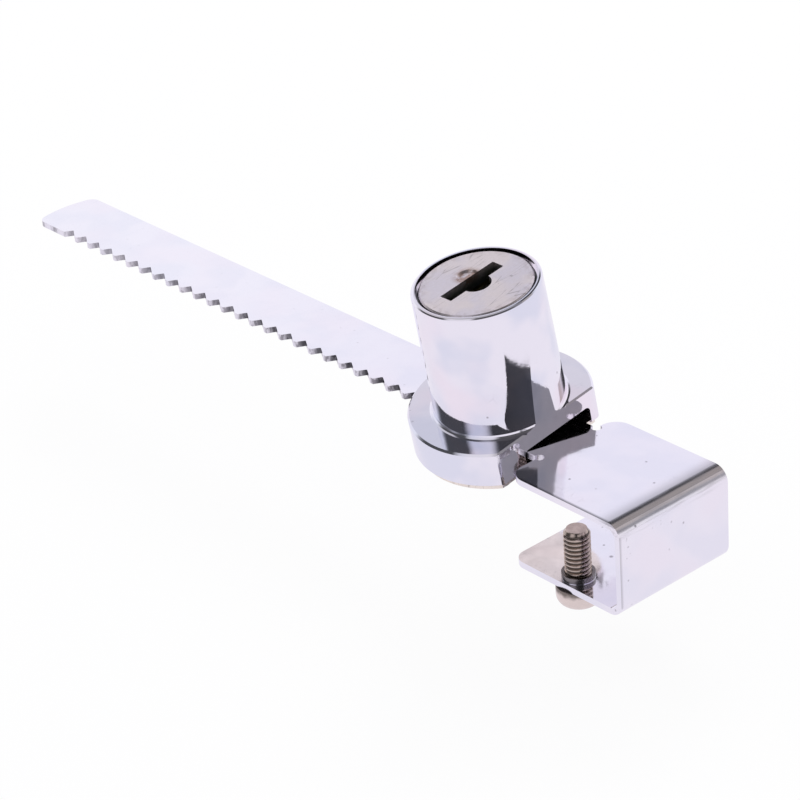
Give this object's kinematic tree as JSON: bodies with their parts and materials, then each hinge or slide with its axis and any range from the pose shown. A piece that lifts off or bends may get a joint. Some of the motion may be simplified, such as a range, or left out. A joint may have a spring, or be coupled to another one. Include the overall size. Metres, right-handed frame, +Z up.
{
  "type": "showcase ratchet lock",
  "caption": "Ratchet lock for a sliding glass showcase door: a saw-toothed bar folded into a glass clip, and a keyed lock body that slides along it and latches in its teeth.",
  "frame": {"origin": "middle of the inner face of the clip's wall, where the edge of the glass pane butts", "axes": "+X along the bar, from its free end to the clip; +Y across the bar, away from the teeth; +Z up, out of the pane's face towards the lock's key side"},
  "size_m": [0.1463, 0.0279, 0.043],
  "materials": {
    "bar_chrome": "bright chrome plate on stamped steel",
    "screw_nickel": "nickel-plated steel screw, warm tone",
    "body_chrome": "bright chrome plate on die-cast zinc",
    "keeper_zinc": "plain zinc-plated steel",
    "keeper_screw_steel": "zinc-plated steel",
    "plug_nickel": "satin nickel, finely sanded face",
    "ring_steel": "spring steel",
    "pawl_steel": "sintered steel",
    "spring_steel": "spring wire",
    "wafer_brass": "stamped brass"
  },
  "bodies": {
    "base": {"ratchet_bar": "bar_chrome"},
    "front_screw": {"clamp_screw_front": "screw_nickel"},
    "back_screw": {"clamp_screw_back": "screw_nickel"},
    "lock": {"lock_housing": "body_chrome", "keeper_plate": "keeper_zinc", "keeper_screws": "keeper_screw_steel", "pawl_spring_left": "spring_steel", "pawl_spring_right": "spring_steel"},
    "plug": {"plug": "plug_nickel", "retaining_ring": "ring_steel"},
    "wafers": {"wafer_1": "wafer_brass", "wafer_2": "wafer_brass", "wafer_3": "wafer_brass", "wafer_4": "wafer_brass", "wafer_5": "wafer_brass", "wafer_6": "wafer_brass", "wafer_7": "wafer_brass"},
    "pawl": {"pawl": "pawl_steel"}
  },
  "joints": [
    {"name": "lock_slide", "type": "slide", "parent": "base", "child": "lock", "axis": [1, 0, 0], "range_m": [-0.13, 0]},
    {"name": "plug_turn", "type": "hinge", "parent": "lock", "child": "plug", "pos_m": [-0.03316, 0.00035, 0.00523], "axis": [0, -0.1599, 0.9871], "range_deg": [0, 90]},
    {"name": "wafer_slide", "type": "slide", "parent": "plug", "child": "wafers", "axis": [0, 0.9871, 0.1599], "range_m": [0, 0.0006]},
    {"name": "pawl_slide", "type": "slide", "parent": "lock", "child": "pawl", "axis": [0, 0.9871, 0.1599], "range_m": [0, 0.0014], "deforming": ["pawl_spring_left", "pawl_spring_right"]},
    {"name": "front_screw_travel", "type": "slide", "parent": "base", "child": "front_screw", "axis": [0, 0, 1], "range_m": [-0.0095, 0]},
    {"name": "back_screw_travel", "type": "slide", "parent": "base", "child": "back_screw", "axis": [0, 0, 1], "range_m": [-0.0095, 0]}
  ],
  "couplings": [
    {"joint": "pawl_slide", "follows": "plug_turn", "m_per_rad": 0.00089127}
  ]
}
